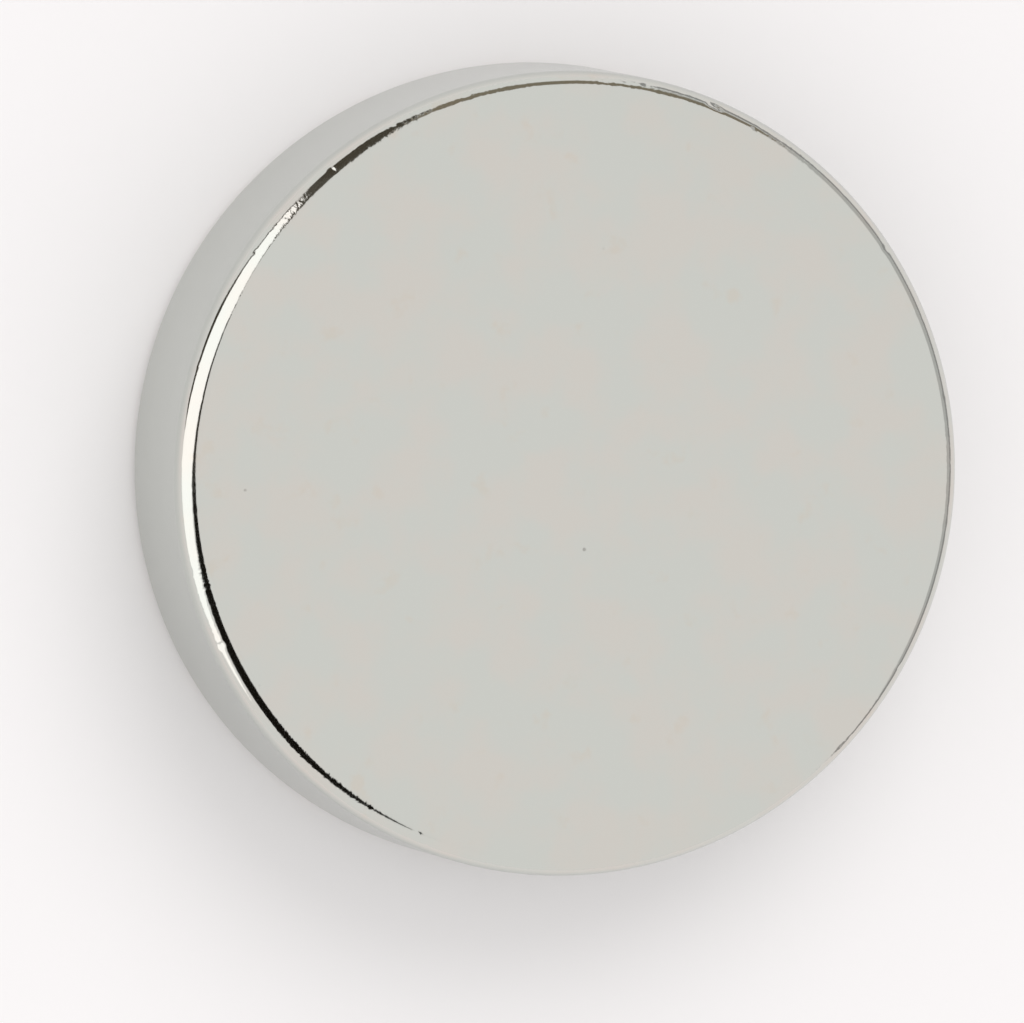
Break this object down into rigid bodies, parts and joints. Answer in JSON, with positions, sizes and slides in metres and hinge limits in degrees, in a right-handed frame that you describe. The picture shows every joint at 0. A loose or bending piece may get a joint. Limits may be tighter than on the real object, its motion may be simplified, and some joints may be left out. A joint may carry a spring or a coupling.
{
  "type": "disc magnet",
  "caption": "Round flat magnet with rounded edges and a bright plated finish, which holds by either of its flat pole faces.",
  "frame": {"origin": "centre of the lower pole face, on the disc's axis", "axes": "+Z along the disc's axis, from the lower pole face to the upper; X and Y lie across the disc"},
  "size_m": [0.02, 0.02, 0.005],
  "materials": {
    "nickel_plate": "bright nickel plate on a ground and tumbled blank, warm light grey, with faint handling marks"
  },
  "bodies": {
    "root": {"magnet_disc": "nickel_plate"}
  },
  "joints": []
}
